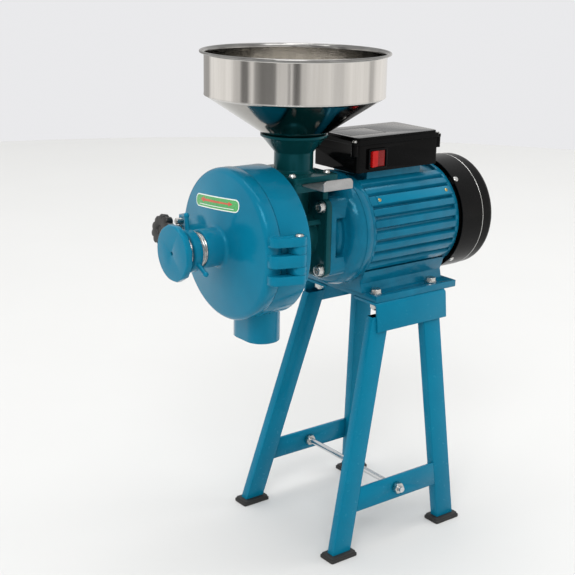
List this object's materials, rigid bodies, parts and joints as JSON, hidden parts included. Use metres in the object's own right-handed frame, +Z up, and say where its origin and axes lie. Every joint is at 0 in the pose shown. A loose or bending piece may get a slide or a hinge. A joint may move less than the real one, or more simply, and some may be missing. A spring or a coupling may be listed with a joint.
{
  "type": "hammer mill",
  "caption": "Electric disc mill on an A-frame stand: hopper, gate, auger, hinged grinding casing with adjusting knob, and a finned motor with a switch box.",
  "frame": {"origin": "on the floor, under the middle of the whole machine", "axes": "+X along the motor shaft towards the fan, +Y away from the hinge side, +Z up"},
  "size_m": [0.4774, 0.24, 0.6615],
  "materials": {
    "blue_paint": "gloss",
    "dark_paint": "satin",
    "zinc": "bright zinc plate",
    "machined_steel": "machined",
    "cast_iron": "as cast",
    "copper": "varnished wire",
    "gate_sheet": "satin sheet",
    "stainless": "polished stainless",
    "black_plastic": "gloss",
    "black_sheet": "gloss",
    "rubber": "matte",
    "red_plastic": "gloss",
    "green_label": "gloss",
    "brass": "bright"
  },
  "bodies": {
    "stand_and_motor": {"near_top_plate": "blue_paint", "far_top_plate": "blue_paint", "near_front_leg": "blue_paint", "near_rear_leg": "blue_paint", "far_front_leg": "blue_paint", "far_rear_leg": "blue_paint", "near_cross_bar": "blue_paint", "far_cross_bar": "blue_paint", "tie_rod": "zinc", "tie_rod_nuts": "zinc", "rubber_feet": "rubber", "motor_body": "blue_paint", "front_end_bell": "blue_paint", "rear_end_bell": "black_sheet", "fan_cover": "black_sheet", "fan_cover_screws": "zinc", "stator_core": "machined_steel", "stator_windings": "copper", "front_bearing": "machined_steel", "rear_bearing": "machined_steel", "foot_bolts": "zinc", "foot_nuts": "zinc", "flange_bolts": "zinc", "terminal_box": "black_plastic", "terminal_lid": "black_plastic", "lid_screws": "zinc", "run_capacitor": "zinc", "switch_housing": "black_plastic", "cable_gland": "black_plastic", "rating_plate": "blue_paint", "plate_rivets": "brass", "auger_housing": "dark_paint", "shaft_seal": "rubber", "mill_casing": "blue_paint", "casing_screws": "zinc", "stationary_disc": "cast_iron", "disc_screws": "zinc", "cover_gasket": "rubber", "hinge_pin": "zinc", "inlet_neck": "dark_paint", "inlet_screws": "zinc", "hopper": "stainless"},
    "rotor": {"motor_shaft": "machined_steel", "rotor_core": "machined_steel", "cooling_fan": "black_plastic", "feed_auger": "cast_iron"},
    "runner": {"rotating_disc": "cast_iron"},
    "cover": {"front_cover": "blue_paint", "direction_plate": "green_label", "latch_dowel": "zinc"},
    "thrust": {"thrust_pad": "machined_steel"},
    "spindle": {"adjusting_spindle": "zinc", "adjusting_knob": "blue_paint"},
    "lock_washer": {"lock_washer": "zinc"},
    "lock_ring": {"lock_ring": "blue_paint"},
    "latch_washer": {"latch_washer": "zinc"},
    "latch_knob": {"star_knob": "black_plastic", "latch_screw": "zinc"},
    "gate": {"feed_gate": "gate_sheet"},
    "rocker": {"switch_rocker": "red_plastic"}
  },
  "joints": [
    {"name": "shaft_spin", "type": "hinge", "parent": "stand_and_motor", "child": "rotor", "pos_m": [0, 0, 0.427], "axis": [1, 0, 0], "continuous": true},
    {"name": "runner_travel", "type": "slide", "parent": "rotor", "child": "runner", "axis": [1, 0, 0], "range_m": [-0.0031, 0.0016]},
    {"name": "cover_hinge", "type": "hinge", "parent": "stand_and_motor", "child": "cover", "pos_m": [-0.12625, -0.106, 0.427], "axis": [0, 0, 1], "range_deg": [0, 115]},
    {"name": "thrust_travel", "type": "slide", "parent": "cover", "child": "thrust", "axis": [1, 0, 0], "range_m": [-0.0031, 0.0016]},
    {"name": "adjuster_turn", "type": "hinge", "parent": "thrust", "child": "spindle", "pos_m": [-0.23025, 0, 0.427], "axis": [1, 0, 0], "range_deg": [-360, 180]},
    {"name": "lock_washer_travel", "type": "slide", "parent": "spindle", "child": "lock_washer", "axis": [1, 0, 0], "range_m": [0, 0.0061]},
    {"name": "lock_ring_turn", "type": "hinge", "parent": "lock_washer", "child": "lock_ring", "pos_m": [-0.21525, 0, 0.427], "axis": [1, 0, 0], "range_deg": [0, 720]},
    {"name": "latch_travel", "type": "slide", "parent": "cover", "child": "latch_washer", "axis": [0.9781, 0, -0.2079], "range_m": [-0.0061, 0]},
    {"name": "latch_turn", "type": "hinge", "parent": "latch_washer", "child": "latch_knob", "pos_m": [-0.15425, 0.0995, 0.4222], "axis": [0.9781, 0, -0.2079], "range_deg": [-1728, 0]},
    {"name": "gate_slide", "type": "slide", "parent": "stand_and_motor", "child": "gate", "axis": [0, 1, 0], "range_m": [0, 0.039]},
    {"name": "rocker_tilt", "type": "hinge", "parent": "stand_and_motor", "child": "rocker", "pos_m": [0.04675, -0.0415, 0.523], "axis": [0, 0, 1], "range_deg": [-12, 0]}
  ],
  "couplings": [
    {"joint": "thrust_travel", "follows": "adjuster_turn", "m_per_rad": 0.00047746},
    {"joint": "runner_travel", "follows": "adjuster_turn", "m_per_rad": 0.00047746},
    {"joint": "lock_washer_travel", "follows": "lock_ring_turn", "m_per_rad": 0.00047746},
    {"joint": "latch_travel", "follows": "latch_turn", "m_per_rad": 0.00019894}
  ]
}
